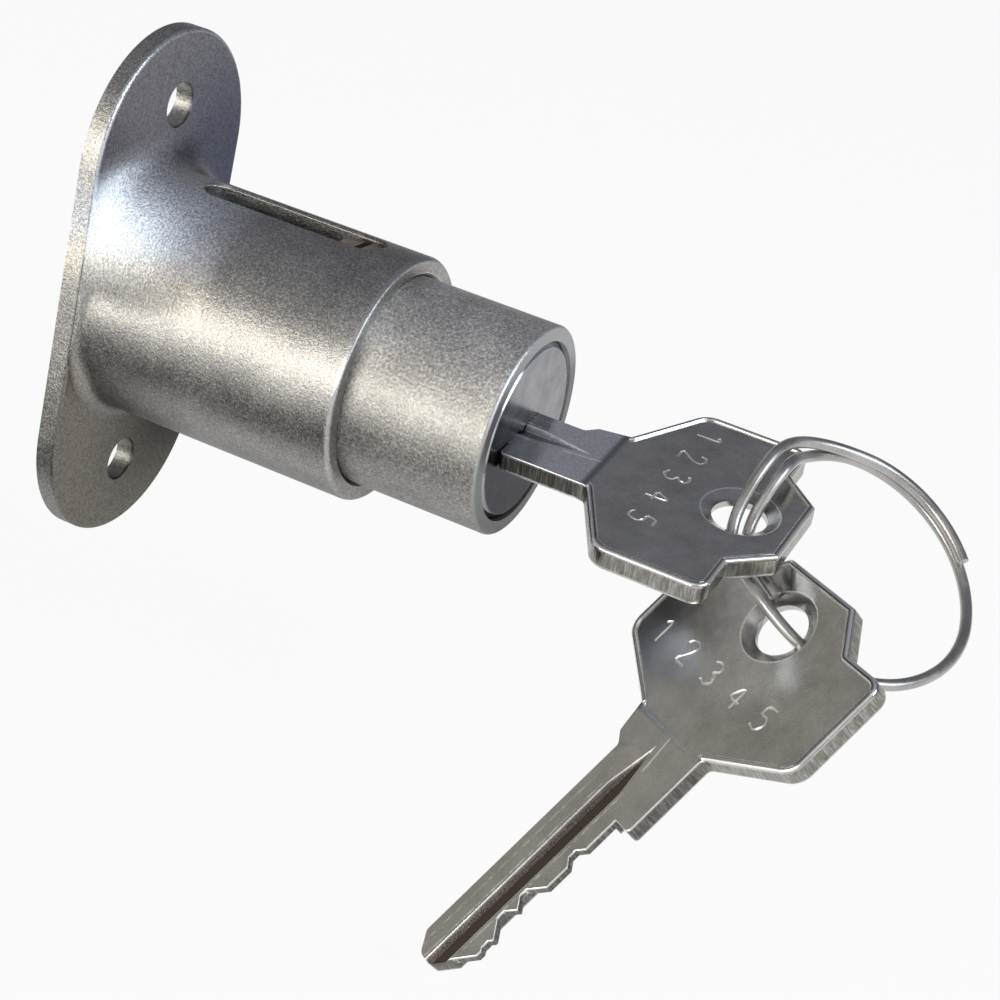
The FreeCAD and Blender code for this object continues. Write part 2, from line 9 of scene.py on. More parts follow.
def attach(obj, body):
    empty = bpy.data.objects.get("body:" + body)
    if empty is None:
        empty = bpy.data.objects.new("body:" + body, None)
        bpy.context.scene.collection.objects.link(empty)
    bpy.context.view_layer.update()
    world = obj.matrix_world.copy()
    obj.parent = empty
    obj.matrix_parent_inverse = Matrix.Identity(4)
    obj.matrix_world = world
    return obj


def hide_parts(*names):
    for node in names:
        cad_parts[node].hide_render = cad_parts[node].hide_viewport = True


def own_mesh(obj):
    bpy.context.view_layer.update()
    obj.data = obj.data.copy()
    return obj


# Lengths are in millimetres in this file, the lamps' apart, and MM turns them into metres.
MM = 0.001

# Places that the model's own sizes give
BARREL_RADIUS = 11.0
BARREL_FRONT = 26.8
BORE_EDGE_RADIUS = 9.5
PLUNGER_FRONT = 39.6
PLUNGER_RADIUS = 9.3
FLANGE_THICKNESS = 1.8
FLANGE_HALF = 11.3
FLANGE_STRAIGHT = 12.2

# Key: u from the shoulder to the bow, v across towards the uncut edge, z out of the digits' face
KEY_FACE = 0.85
KEY_HALF_THICKNESS = 1.0
BOW_AXIS = -0.94
RING_HOLE_U = 19.7
HOLE_BEVEL = 3.3
KEY_TURNED = math.radians(-77.0)

# Where the ring and the spare key hang
RING_OFFSET = Vector((10.45, 4.736, -0.389))
RING_NORMAL = Vector((0.466, -0.336, 0.818)).normalized()
SPARE_OFFSET = Vector((-3.39, -9.46, -5.25))
SPARE_DIRECTION = Vector((0.379, 0.534, 0.756)).normalized()
SPARE_SIDE = Vector((-0.813, 0.582, -0.005))

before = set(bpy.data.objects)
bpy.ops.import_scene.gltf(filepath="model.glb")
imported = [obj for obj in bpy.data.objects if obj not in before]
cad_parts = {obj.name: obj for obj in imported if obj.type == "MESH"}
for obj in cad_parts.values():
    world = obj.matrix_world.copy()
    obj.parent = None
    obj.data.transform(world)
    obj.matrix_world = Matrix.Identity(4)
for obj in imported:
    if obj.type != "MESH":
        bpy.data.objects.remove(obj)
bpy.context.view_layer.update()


# Shader helpers

def add_node(tree, kind, inputs=None, **settings):
    """Add one shader node, linking the inputs that are sockets."""
    made = tree.nodes.new("ShaderNode" + kind)
    for name, value in settings.items():
        setattr(made, name, value)
    for name, value in (inputs or {}).items():
        if isinstance(value, bpy.types.NodeSocket):
            tree.links.new(value, made.inputs[name])
        else:
            made.inputs[name].default_value = value
    return made


def noise(tree, vector, scale, detail=2.0, roughness=0.5):
    """A noise value from 0 to 1, with features of about 1/scale of the vector's unit."""
    made = add_node(tree, "TexNoise", {
        "Vector": vector, "Scale": scale, "Detail": detail, "Roughness": roughness})
    return made.outputs["Fac"]


def math_node(tree, operation, first, second=0.0):
    """One arithmetic step."""
    return add_node(tree, "Math", {0: first, 1: second}, operation=operation).outputs[0]


def chained(tree, operation, values):
    """One arithmetic operation carried along several values."""
    result = values[0]
    for value in values[1:]:
        result = math_node(tree, operation, result, value)
    return result


def product(tree, *values):
    """Values multiplied together."""
    return chained(tree, "MULTIPLY", values)


def total(tree, *values):
    """Values added up."""
    return chained(tree, "ADD", values)


def largest(tree, *values):
    """The largest of some values."""
    return chained(tree, "MAXIMUM", values)


def remap(tree, value, low, high, to_low, to_high):
    """A value moved from one range to another, held at the ends."""
    made = add_node(tree, "MapRange", {
        "Value": value, "From Min": low, "From Max": high, "To Min": to_low, "To Max": to_high},
        interpolation_type="SMOOTHSTEP")
    return made.outputs[0]


def rise(tree, value, low, high):
    """0 below one value and 1 above another."""
    return remap(tree, value, low, high, 0.0, 1.0)


def fall(tree, value, low, high):
    """1 below one value and 0 above another."""
    return remap(tree, value, low, high, 1.0, 0.0)


def near(tree, value, place, width):
    """1 where a value is at a place, falling to 0 at a distance of width."""
    away = math_node(tree, "ABSOLUTE", math_node(tree, "SUBTRACT", value, place))
    return fall(tree, away, 0.0, width)


def within(tree, value, low, high, soft):
    """1 between two values, with soft ends."""
    return product(tree, rise(tree, value, low - soft, low), fall(tree, value, high, high + soft))


def ramp(tree, value, stops):
    """A colour ramp from (place, colour) stops."""
    made = add_node(tree, "ValToRGB", {"Fac": value})
    elements = made.color_ramp.elements
    while len(elements) < len(stops):
        elements.new(0.5)
    for element, (place, colour) in zip(elements, stops):
        element.position = place
        element.color = (*colour, 1.0)
    return made.outputs["Color"]


def mix_colour(tree, factor, first, second):
    """Two colours mixed by a factor."""
    made = add_node(tree, "Mix", {0: factor}, data_type="RGBA")
    for index, value in ((6, first), (7, second)):
        if isinstance(value, bpy.types.NodeSocket):
            tree.links.new(value, made.inputs[index])
        else:
            made.inputs[index].default_value = (*value, 1.0)
    return made.outputs[2]


def scaled(tree, vector, factor):
    """A vector or colour times one number."""
    return add_node(tree, "VectorMath", {0: vector, "Scale": factor}, operation="SCALE").outputs[0]


def stretched(tree, vector, factors):
    """A vector with each of its three parts times its own number."""
    return add_node(tree, "VectorMath", {0: vector, 1: factors}, operation="MULTIPLY").outputs[0]


def unit(tree, vector):
    """A vector brought to a length of 1."""
    return add_node(tree, "VectorMath", {0: vector}, operation="NORMALIZE").outputs[0]


def length_of(tree, vector):
    """A vector's length."""
    return add_node(tree, "VectorMath", {0: vector}, operation="LENGTH").outputs["Value"]


def bump(tree, height, strength, distance, normal=None):
    """A bumped normal."""
    inputs = {"Height": height, "Strength": strength, "Distance": distance}
    if normal is not None:
        inputs["Normal"] = normal
    return add_node(tree, "Bump", inputs).outputs["Normal"]


def place_on_lock(tree, coordinates):
    """X, Y and Z in millimetres, and the distance from the X axis."""
    place = add_node(tree, "SeparateXYZ", {"Vector": scaled(tree, coordinates, 1 / MM)}).outputs
    flat = add_node(tree, "CombineXYZ", {"Y": place["Y"], "Z": place["Z"]}).outputs[0]
    return place, length_of(tree, flat)


def new_metal(name):
    """A material with a metal shader and the object's own coordinates, in metres."""
    material = bpy.data.materials.new(name)
    material.use_nodes = True
    tree = material.node_tree
    shader = tree.nodes["Principled BSDF"]
    shader.inputs["Metallic"].default_value = 1.0
    coordinates = add_node(tree, "TexCoord").outputs["Object"]
    return material, tree, shader, coordinates


def connect(tree, shader, colour, roughness, normal):
    """Link the three values that make a metal's look to its shader."""
    tree.links.new(colour, shader.inputs["Base Color"])
    tree.links.new(roughness, shader.inputs["Roughness"])
    tree.links.new(normal, shader.inputs["Normal"])


# Satin nickel of the casting and the plunger

# The tint at grazing angles, which keeps the dark faces dark
CASTING_GRAZING_TINT = (0.62, 0.62, 0.64, 1.0)
CASTING_STOPS = [
    (0.32, (0.20, 0.196, 0.188)), (0.5, (0.38, 0.37, 0.352)), (0.68, (0.66, 0.65, 0.62))]
# Rims worn bright by rubbing, with a painted highlight that is strongest on top and fades towards the
# bottom.
RUBBED_AND_HIGHLIGHT_COLOUR = (0.76, 0.78, 0.80)
# A painted highlight where the barrel grows out of the flange: warm below, cool above.
ROOT_HIGHLIGHT_WARM, ROOT_HIGHLIGHT_COOL = (0.74, 0.69, 0.61), (0.60, 0.615, 0.65)
# Painted light on the flange's face, warm below and cool above, and painted shade where the barrel
# shades it.
FLANGE_LIT_WARM, FLANGE_LIT_COOL = (0.26, 0.238, 0.205), (0.185, 0.185, 0.20)
SHADED_WARM, SHADED_COOL = (0.034, 0.034, 0.030), (0.085, 0.09, 0.125)
PLUNGER_FACE_DARK, PLUNGER_FACE_LIGHT = (0.2025, 0.2025, 0.201), (0.3645, 0.3645, 0.3618)
# Painted shade: the share to which the colour darkens towards the underside.
UNDERSIDE_SHADE = 0.68

# The soft root between flange and barrel: how far it reaches along each, and how full it is
ROOT_REACH_ALONG = 11.0
ROOT_REACH_OUT = 7.5
ROOT_SPREAD = 0.6


def speckled(tree, fine, colour):
    """A colour, lighter and darker with the grain."""
    return scaled(tree, colour, remap(tree, fine, 0.33, 0.67, 0.66, 1.40))


def root_painted_highlight(tree, place, radius):
    """1 where the barrel grows out of the flange at the upper left, where a highlight is painted."""
    return product(
        tree, fall(tree, place["X"], 8.0, 15.5), fall(tree, radius, 12.0, 18.0),
        fall(tree, place["Y"], -5.0, 3.0), within(tree, place["Z"], 5.5, 11.0, 4.0))


def flange_painted_light(tree, place, fine):
    """The flange's face with painted light, cool above the barrel and warm below it, and painted shade
    where the barrel shades it.
    """
    upper = rise(tree, place["Z"], -6.0, 6.0)
    open_side = mix_colour(tree, upper, FLANGE_LIT_WARM, FLANGE_LIT_COOL)
    shaded = mix_colour(tree, upper, SHADED_WARM, SHADED_COOL)
    right = rise(tree, place["Y"], -8.0, 8.0)
    close = fall(tree, math_node(tree, "ABSOLUTE", place["Z"]), 12.0, 26.0)
    return speckled(tree, fine, mix_colour(tree, product(tree, right, close), open_side, shaded))


def flange_edge_wear_and_highlight(tree, place):
    """1 on the flange's rounded front edge, worn bright by rubbing, with a painted highlight that grows
    towards the top.
    """
    height = math_node(tree, "ABSOLUTE", place["Z"])
    past_straight = largest(tree, math_node(tree, "SUBTRACT", height, FLANGE_STRAIGHT), 0.0)
    reach = length_of(tree, add_node(tree, "CombineXYZ", {
        "X": place["Y"], "Y": past_straight, "Z": 0.0}).outputs[0])
    return product(
        tree, near(tree, reach, FLANGE_HALF - 0.1, 0.35),
        near(tree, place["X"], FLANGE_THICKNESS - 0.1, 0.35),
        remap(tree, place["Z"], 8.0, 15.0, 0.12, 1.0))


def soft_root(tree, place, radius):
    """The normal of a wide soft fillet between the flange's face and the top of the barrel."""
    slopes = []
    for value, start, reach in ((place["X"], FLANGE_THICKNESS, ROOT_REACH_ALONG),
                                (radius, BARREL_RADIUS, ROOT_REACH_OUT)):
        left = math_node(tree, "SUBTRACT", start + reach, value)
        left = largest(tree, math_node(tree, "DIVIDE", left, reach), 0.0)
        slopes.append(math_node(tree, "POWER", left, ROOT_SPREAD))
    outward = math_node(tree, "DIVIDE", slopes[1], radius)
    fillet = unit(tree, add_node(tree, "CombineXYZ", {
        "X": slopes[0], "Y": product(tree, outward, place["Y"]),
        "Z": product(tree, outward, place["Z"])}).outputs[0])
    where = product(
        tree, within(tree, place["Z"], 4.0, 11.0, 4.5),
        rise(tree, place["X"], FLANGE_THICKNESS - 0.3, FLANGE_THICKNESS),
        rise(tree, radius, BARREL_RADIUS - 0.4, BARREL_RADIUS - 0.1),
        fall(tree, place["Y"], 1.5, 7.5))
    plain = add_node(tree, "NewGeometry").outputs["Normal"]
    mixed = add_node(tree, "Mix", {0: where, 4: plain, 5: fillet}, data_type="VECTOR")
    return unit(tree, mixed.outputs[1])


def blasted_nickel(name, grain, rims, dull_place, rough_low, painted_top_light, is_flange=False):
    """Satin nickel on a blasted casting: fine grain, worn rims with a painted highlight, a duller face,
    and painted shade below and painted light on top.

    rims holds an x, a radius and a width for each rim. dull_place holds where the dull face starts
    and ends along x, and between which radii it sets in.
    """
    material, tree, shader, coordinates = new_metal(name)
    shader.inputs["Specular Tint"].default_value = CASTING_GRAZING_TINT
    place, radius = place_on_lock(tree, coordinates)
    fine = noise(tree, coordinates, grain, 3.0, 0.7)
    coarse = noise(tree, coordinates, 0.3 * grain, 2.0, 0.6)
    blotch = noise(tree, coordinates, 240.0, 4.0, 0.6)
    tone = total(tree, product(tree, blotch, 0.22), product(tree, fine, 0.78))
    colour = ramp(tree, tone, CASTING_STOPS)
    rubbed_and_highlight = largest(tree, *[
        product(tree, near(tree, place["X"], x, width), near(tree, radius, rim, width))
        for x, rim, width in rims])
    start, end, inner, outer = dull_place
    band = product(tree, rise(tree, place["X"], start, start + 0.3),
                   fall(tree, place["X"], end - 0.9, end), rise(tree, radius, inner, outer))
    # On the flange: painted light and shade on its face, and a painted highlight at the barrel's root.
    if is_flange:
        colour = mix_colour(tree, band, colour, flange_painted_light(tree, place, fine))
        # The root's painted highlight: warm below and cool above.
        light = mix_colour(tree, rise(tree, place["Z"], 4.5, 8.0), ROOT_HIGHLIGHT_WARM, ROOT_HIGHLIGHT_COOL)
        colour = mix_colour(tree, root_painted_highlight(tree, place, radius), colour, speckled(tree, fine, light))
        worn = remap(tree, total(tree, blotch, fine), 0.75, 1.15, 0.25, 1.0)
        rubbed_and_highlight = largest(tree, rubbed_and_highlight, product(tree, flange_edge_wear_and_highlight(tree, place), worn))
    else:
        face = mix_colour(tree, fine, PLUNGER_FACE_DARK, PLUNGER_FACE_LIGHT)
        colour = mix_colour(tree, band, colour, face)
    # Painted shade towards the underside, and painted light towards the top by the given factor.
    shade = product(tree, remap(tree, place["Z"], -12.0, 0.0, UNDERSIDE_SHADE, 1.0),
                    remap(tree, place["Z"], 3.0, 6.5, 1.0, painted_top_light))
    colour = scaled(tree, colour, shade)
    # Painted highlight: the worn rims are brightest on top and fade towards the bottom.
    rubbed_and_highlight = product(tree, rubbed_and_highlight, remap(tree, place["Z"], -6.0, 5.0, 0.2, 1.0))
    colour = mix_colour(tree, rubbed_and_highlight, colour, RUBBED_AND_HIGHLIGHT_COLOUR)
    rough = remap(tree, total(tree, product(tree, blotch, 0.25), fine),
                  0.35, 0.90, rough_low, rough_low + 0.14)
    rough = math_node(tree, "SUBTRACT", rough, product(tree, rubbed_and_highlight, 0.14))
    normal = bump(tree, fine, 0.9, 0.036 * MM, soft_root(tree, place, radius) if is_flange else None)
    normal = bump(tree, coarse, 0.5, 0.045 * MM, normal)
    connect(tree, shader, colour, rough, normal)
    return material


# Satin steel of the plug

PLUG_GRAZING_TINT = (0.55, 0.55, 0.57, 1.0)
# Painted shade and painted light: the plug face's shaded and lit tones, and the chamfer's shaded and lit
# tones.
PLUG_SHADED_STOPS = [(0.3, (0.048, 0.048, 0.052)), (0.7, (0.095, 0.095, 0.10))]
PLUG_LIT_STOPS = [(0.3, (0.34, 0.34, 0.35)), (0.7, (0.50, 0.50, 0.51))]
CHAMFER_SHADED, CHAMFER_LIT = (0.30, 0.30, 0.30), (0.62, 0.65, 0.69)
CHAMFER_RADIUS = 7.4


def polished_plug(name):
    """The plug: a faintly turned satin face and a brighter chamfer, both with painted light above and
    painted shade below.
    """
    material, tree, shader, coordinates = new_metal(name)
    shader.inputs["Specular Tint"].default_value = PLUG_GRAZING_TINT
    place, radius = place_on_lock(tree, coordinates)
    rings = add_node(tree, "CombineXYZ", {"X": radius, "Y": 0.0, "Z": 0.0}).outputs[0]
    turned = noise(tree, rings, 9.0, 2.0)
    stain = noise(tree, coordinates, 420.0, 4.0, 0.6)
    fine = noise(tree, coordinates, 7000.0, 2.0)
    # The face's shaded and lit tones, mixed into painted light towards the upper right and painted shade
    # below.
    dark = ramp(tree, total(tree, product(tree, stain, 0.6), product(tree, fine, 0.4)), PLUG_SHADED_STOPS)
    bright = ramp(tree, stain, PLUG_LIT_STOPS)
    upper_right = total(tree, place["Z"], product(tree, place["Y"], 0.5))
    face = mix_colour(tree, rise(tree, upper_right, -5.0, 3.0), dark, bright)
    chamfer = rise(tree, radius, CHAMFER_RADIUS - 0.1, CHAMFER_RADIUS + 0.1)
    # Painted light on the chamfer: lighter above, darker below.
    chamfer_painted_light = mix_colour(tree, rise(tree, place["Z"], -6.0, 4.0), CHAMFER_SHADED, CHAMFER_LIT)
    colour = mix_colour(tree, chamfer, face, chamfer_painted_light)
    rough = math_node(tree, "SUBTRACT", remap(tree, stain, 0.3, 0.7, 0.20, 0.30),
                      product(tree, chamfer, 0.06))
    normal = bump(tree, turned, 0.08, 0.02 * MM)
    normal = bump(tree, fine, 0.15, 0.02 * MM, normal)
    connect(tree, shader, colour, rough, normal)
    return material


# Polished nickel of the keys

# The groove's colour: a plain steel tone on the lock key, and painted shade on the spare key.
LOCK_GROOVE, SPARE_GROOVE_SHADE = (0.42, 0.42, 0.44), (0.135, 0.105, 0.095)
FACE_SHARES = [(0.32, (0.70, 0.69, 0.665)), (0.5, (1.0, 0.985, 0.95)), (0.68, (1.32, 1.30, 1.25))]
SHEARED_STOPS = [(0.30, (0.13, 0.12, 0.105)), (0.5, (0.27, 0.26, 0.235)), (0.72, (0.55, 0.54, 0.51))]
# Painted light on the lock key's shank, lighter near the shoulder, and painted shade in the crease where
# the shank meets the bow.
SHANK_LIT_FRONT, SHANK_LIT_BACK = (0.92, 0.96, 1.0), (0.84, 0.85, 0.88)
CREASE_SHADE_COLOUR = (0.20, 0.20, 0.20)
# Painted shade along the foot of the raised rim.
RIM_FOOT_SHADE = (0.13, 0.13, 0.13)
# The near-white of painted highlights on the rim's rounded top, the hole's bevel, the blade's lip, the
# tool lines and the digits.
MARK_AND_HIGHLIGHT_COLOUR = (0.92, 0.92, 0.90)
# Where the painted light on the shank changes, and where the shank meets the bow in a crease with
# painted shade
SHANK_STEP_U = 2.55
CREASE_U = 7.65
# The blade's groove, across the key, and where it ends
GROOVE_V = -1.0
GROOVE_END_U = 6.0
# Rows of milling dashes, painted bright as highlights: their v, their half width and how bright they are
DASH_ROWS = ((0.14, 0.17, 1.0), (-2.18, 0.17, 1.0), (1.2, 0.16, 0.8))
# The line that the cutter left as it ran out: its v at the shoulder and its slope
RUN_OUT_V = -2.42
RUN_OUT_SLOPE = 0.13


def key_face_marks_and_highlights(tree, local, u, v, z, height):
    """Tool lines and digits on a key's flat faces, painted bright as highlights, 0 to 1: dashes by the
    groove, its run-out line, the digits.
    """
    dashes = rise(tree, noise(tree, stretched(tree, local, (0.9, 9.0, 1.0)), 1.9, 1.0), 0.50, 0.56)
    rows = largest(tree, *[
        product(tree, near(tree, v, place, width), strength) for place, width, strength in DASH_ROWS])
    rows = product(tree, rows, dashes, fall(tree, u, 0.5, 3.5))
    slanted = total(tree, v, product(tree, u, -RUN_OUT_SLOPE))
    run_out = product(tree, near(tree, slanted, RUN_OUT_V, 0.17), within(tree, u, 4.4, 7.2, 0.5))
    marks_and_highlights = product(tree, largest(tree, rows, run_out), rise(tree, z, 0.0, 0.1))
    digits = product(
        tree, within(tree, height, 0.70, 0.80, 0.03),
        within(tree, u, DIGIT_LOW - 0.2, DIGIT_LOW + DIGIT_HEIGHT + 0.2, 0.1),
        within(tree, v, -8.0, DIGIT_FIRST + 0.3, 0.1), 0.7)
    return largest(tree, marks_and_highlights, digits)


def key_nickel(name, groove_colour, tone, lit_shank=False):
    """Polished nickel on a stamped key, streaked across its sheared edges, with painted highlights on
    the raised rim and face lines and painted shade at the rim's foot.
    """
    material, tree, shader, _ = new_metal(name)
    local = add_node(tree, "Attribute", attribute_name="key_place").outputs["Vector"]
    rim = add_node(tree, "Attribute", attribute_name="rim_share").outputs["Fac"]
    parts = add_node(tree, "SeparateXYZ", {"Vector": local}).outputs
    u, v, z = parts["X"], parts["Y"], parts["Z"]
    height = math_node(tree, "ABSOLUTE", z)
    from_hole = add_node(tree, "VectorMath", {0: local, 1: (RING_HOLE_U, BOW_AXIS, 0.0)},
                         operation="SUBTRACT").outputs[0]
    hole = length_of(tree, stretched(tree, from_hole, (1.0, 1.0, 0.0)))
    edge = product(tree, rise(tree, hole, HOLE_BEVEL - 0.1, HOLE_BEVEL + 0.2),
                   fall(tree, height, 0.58, 0.74))

    streak = noise(tree, stretched(tree, local, (1.0, 1.0, 0.12)), 4.2, 4.0, 0.75)
    scratch = noise(tree, stretched(tree, local, (0.5, 6.0, 1.0)), 1.6, 2.0)
    haze = noise(tree, local, 0.35, 4.0, 0.62)
    wave = noise(tree, local, 0.14, 1.0)
    fine = noise(tree, local, 8.0, 3.0, 0.65)

    grain = total(tree, product(tree, haze, 0.5), product(tree, fine, 0.5))
    face = ramp(tree, grain, [
        (place, [share * tone for share in shares]) for place, shares in FACE_SHARES])
    # Painted light on the lock key's shank and painted shade in its crease.
    if lit_shank:
        shank = mix_colour(tree, rise(tree, u, SHANK_STEP_U - 0.15, SHANK_STEP_U + 0.15),
                           SHANK_LIT_FRONT, SHANK_LIT_BACK)
        on_shank = fall(tree, u, CREASE_U - 0.65, CREASE_U + 0.15)
        face = mix_colour(tree, on_shank, face, speckled(tree, fine, shank))
        face = mix_colour(tree, near(tree, u, CREASE_U, 0.55), face, CREASE_SHADE_COLOUR)
    side = scaled(tree, ramp(tree, streak, SHEARED_STOPS), remap(tree, u, 6.5, 9.5, 0.5, 1.0))
    # The groove's colour; on the spare key it is painted shade.
    in_groove = product(
        tree, fall(tree, height, 0.60, 0.80), near(tree, v, GROOVE_V, 1.5),
        fall(tree, u, GROOVE_END_U - 0.4, GROOVE_END_U + 0.4), rise(tree, z, 0.0, 0.1))
    # Painted shade along the foot of the raised rim.
    rim_foot_shade = product(tree, within(tree, rim, 0.06, 0.5, 0.05), rise(tree, height, 0.97, 0.99))
    blade_lip = product(tree, within(tree, height, 0.775, 0.842, 0.01), fall(tree, u, 7.8, 8.2))
    # Painted highlights on the rim's rounded top, the hole's bevel and the blade's lip.
    bead_highlight = largest(
        tree, within(tree, height, 0.875, 0.975, 0.02), rise(tree, rim, 0.62, 0.75),
        near(tree, hole, HOLE_BEVEL, 0.13), blade_lip)
    # The dashes, the run-out line and the digits, painted bright as highlights.
    marks_and_highlights = key_face_marks_and_highlights(tree, local, u, v, z, height)
    colour = mix_colour(tree, edge, face, side)
    colour = mix_colour(tree, in_groove, colour, groove_colour)
    colour = mix_colour(tree, product(tree, rim_foot_shade, 0.7), colour, RIM_FOOT_SHADE)
    colour = mix_colour(tree, largest(tree, bead_highlight, marks_and_highlights), colour, MARK_AND_HIGHLIGHT_COLOUR)

    rough = remap(tree, total(tree, haze, product(tree, scratch, 0.35)), 0.4, 1.0, 0.10, 0.22)
    rough = total(tree, rough, product(tree, edge, 0.08), product(tree, marks_and_highlights, 0.40),
                  product(tree, bead_highlight, 0.15))

    crease = product(tree, fall(tree, u, CREASE_U - 0.35, CREASE_U + 0.45), 0.12 * MM)
    normal = bump(tree, crease, 1.0, 1.0)
    normal = bump(tree, wave, 1.0, 0.10 * MM, normal)
    normal = bump(tree, fine, 0.3, 0.025 * MM, normal)
    normal = bump(tree, near(tree, rim, 0.5, 0.5), 1.0, 0.10 * MM, normal)
    normal = bump(tree, product(tree, streak, edge), 0.5, 0.06 * MM, normal)
    connect(tree, shader, colour, rough, normal)
    return material


# Wire and inner pieces

def drawn_wire(name, light, dark, rough_low, rough_high):
    """Drawn steel wire with faint lines and dull stretches."""
    material, tree, shader, coordinates = new_metal(name)
    dull = noise(tree, coordinates, 300.0, 3.0, 0.6)
    fine = noise(tree, coordinates, 5200.0, 2.0)
    tone = total(tree, product(tree, dull, 0.7), product(tree, fine, 0.3))
    colour = ramp(tree, tone, [(0.3, dark), (0.7, light)])
    rough = remap(tree, dull, 0.3, 0.7, rough_low, rough_high)
    connect(tree, shader, colour, rough, bump(tree, fine, 0.18, 0.02 * MM))
    return material


def plain_metal(name, light, dark, roughness):
    """A plain machined or pressed part."""
    material, tree, shader, coordinates = new_metal(name)
    cloud = noise(tree, coordinates, 700.0, 4.0, 0.6)
    fine = noise(tree, coordinates, 6000.0, 2.0)
    colour = ramp(tree, cloud, [(0.3, dark), (0.7, light)])
    rough = remap(tree, cloud, 0.3, 0.7, roughness - 0.06, roughness + 0.08)
    connect(tree, shader, colour, rough, bump(tree, fine, 0.2, 0.02 * MM))
    return material


def make_materials():
    """One material for each finish."""
    return {
        "housing": blasted_nickel(
            "housing_nickel", 5200.0,
            [(BARREL_FRONT, BARREL_RADIUS, 0.5), (BARREL_FRONT, BORE_EDGE_RADIUS, 0.3)],
            (FLANGE_THICKNESS - 0.4, 3.6, 10.6, 12.6), rough_low=0.31, painted_top_light=1.0, is_flange=True),
        "plunger": blasted_nickel(
            "plunger_nickel", 4300.0, [(PLUNGER_FRONT, PLUNGER_RADIUS, 0.35)],
            (PLUNGER_FRONT - 0.35, PLUNGER_FRONT + 1.5, 7.0, 7.2), rough_low=0.40, painted_top_light=1.75),
        "plug": polished_plug("plug_nickel"),
        "lock_key": key_nickel("lock_key_nickel", LOCK_GROOVE, 0.53, lit_shank=True),
        "spare_key": key_nickel("spare_key_nickel", SPARE_GROOVE_SHADE, 0.50),
        "ring": drawn_wire("ring_wire", (0.56, 0.55, 0.53), (0.33, 0.325, 0.315), 0.28, 0.42),
        "spring": drawn_wire("spring_wire", (0.5, 0.5, 0.5), (0.3, 0.3, 0.31), 0.25, 0.4),
        "steel": plain_metal("pressed_steel", (0.55, 0.55, 0.56), (0.42, 0.42, 0.43), 0.35),
        "screw": plain_metal("screw_steel", (0.62, 0.50, 0.38), (0.26, 0.19, 0.14), 0.36),
        "brass": plain_metal("turned_brass", (0.78, 0.60, 0.30), (0.62, 0.45, 0.22), 0.28),
    }


def paint(node, material):
    """Give a carried-over node its material."""
    mesh_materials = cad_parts[node].data.materials
    if len(mesh_materials) == 0:
        mesh_materials.append(material)
    for index in range(len(mesh_materials)):
        mesh_materials[index] = material


# Meshes

WELD_DISTANCE = 0.0004
FLAT_ANGLE = math.radians(0.6)


def new_object(name, mesh, material):
    """Put a mesh into the scene with one material."""
    made = bpy.data.objects.new(name, mesh)
    bpy.context.scene.collection.objects.link(made)
    mesh.materials.clear()
    mesh.materials.append(material)
    return made


def clean_copy(node, name):
    """A node's mesh as plain welded faces, with flat areas joined."""
    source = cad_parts[node].data
    work = bmesh.new()
    work.from_mesh(source)
    bmesh.ops.remove_doubles(work, verts=work.verts, dist=WELD_DISTANCE * MM)
    bmesh.ops.dissolve_limit(work, angle_limit=FLAT_ANGLE, verts=work.verts, edges=work.edges)
    work.verts.ensure_lookup_table()
    points = [vertex.co.copy() for vertex in work.verts]
    faces = [[vertex.index for vertex in face.verts] for face in work.faces]
    work.free()
    mesh = bpy.data.meshes.new(name)
    mesh.from_pydata(points, [], faces)
    mesh.validate()
    return mesh


def baked(item):
    """Replace an object's mesh by the one that its modifiers make."""
    bpy.context.view_layer.update()
    evaluated = item.evaluated_get(bpy.context.evaluated_depsgraph_get())
    mesh = bpy.data.meshes.new_from_object(evaluated)
    item.modifiers.clear()
    item.data = mesh


def tube(name, points, radius, sides):
    """A round tube along points, closed at both ends, as a mesh."""
    vertices = []
    tangent = (points[1] - points[0]).normalized()
    across = tangent.orthogonal().normalized()
    for index, point in enumerate(points):
        before = points[max(index - 1, 0)]
        after = points[min(index + 1, len(points) - 1)]
        tangent = (after - before).normalized()
        across = (across - tangent * across.dot(tangent)).normalized()
        other = tangent.cross(across)
        for side in range(sides):
            angle = 2 * math.pi * side / sides
            corner = point + across * (radius * math.cos(angle))
            vertices.append((corner + other * (radius * math.sin(angle))) * MM)
    faces = []
    for row in range(len(points) - 1):
        for side in range(sides):
            following = (side + 1) % sides
            faces.append((row * sides + side, row * sides + following,
                          (row + 1) * sides + following, (row + 1) * sides + side))
    faces.append(tuple(range(sides - 1, -1, -1)))
    last = (len(points) - 1) * sides
    faces.append(tuple(last + side for side in range(sides)))
    mesh = bpy.data.meshes.new(name)
    mesh.from_pydata(vertices, [], faces)
    return mesh


# Keys

# The digits 1 to 5 as lines of (across, up) points
DIGITS = (
    ((0.2, 1.8), (0.75, 2.3), (0.75, 0.0)),
    ((0.1, 1.75), (0.3, 2.15), (0.75, 2.3), (1.2, 2.1), (1.3, 1.65), (1.0, 1.05), (0.1, 0.0),
     (1.4, 0.0)),
    ((0.1, 2.05), (0.65, 2.3), (1.2, 2.0), (1.15, 1.5), (0.6, 1.25), (1.2, 1.05), (1.35, 0.5),
     (0.8, 0.0), (0.1, 0.25)),
    ((1.0, 0.0), (1.0, 2.3), (0.0, 0.7), (1.4, 0.7)),
    ((1.3, 2.3), (0.35, 2.3), (0.2, 1.35), (0.9, 1.45), (1.35, 0.9), (1.1, 0.2), (0.55, 0.0),
     (0.05, 0.25)),
)
DIGIT_HEIGHT = 2.3
DIGIT_PITCH = 3.5
DIGIT_LOW = 12.3
DIGIT_FIRST = 8.1
STROKE_RADIUS = 0.17
STROKE_DEPTH = 0.09
STROKE_SIDES = 8
STEPS_BETWEEN_POINTS = 4
EASING_ROUNDS = 2

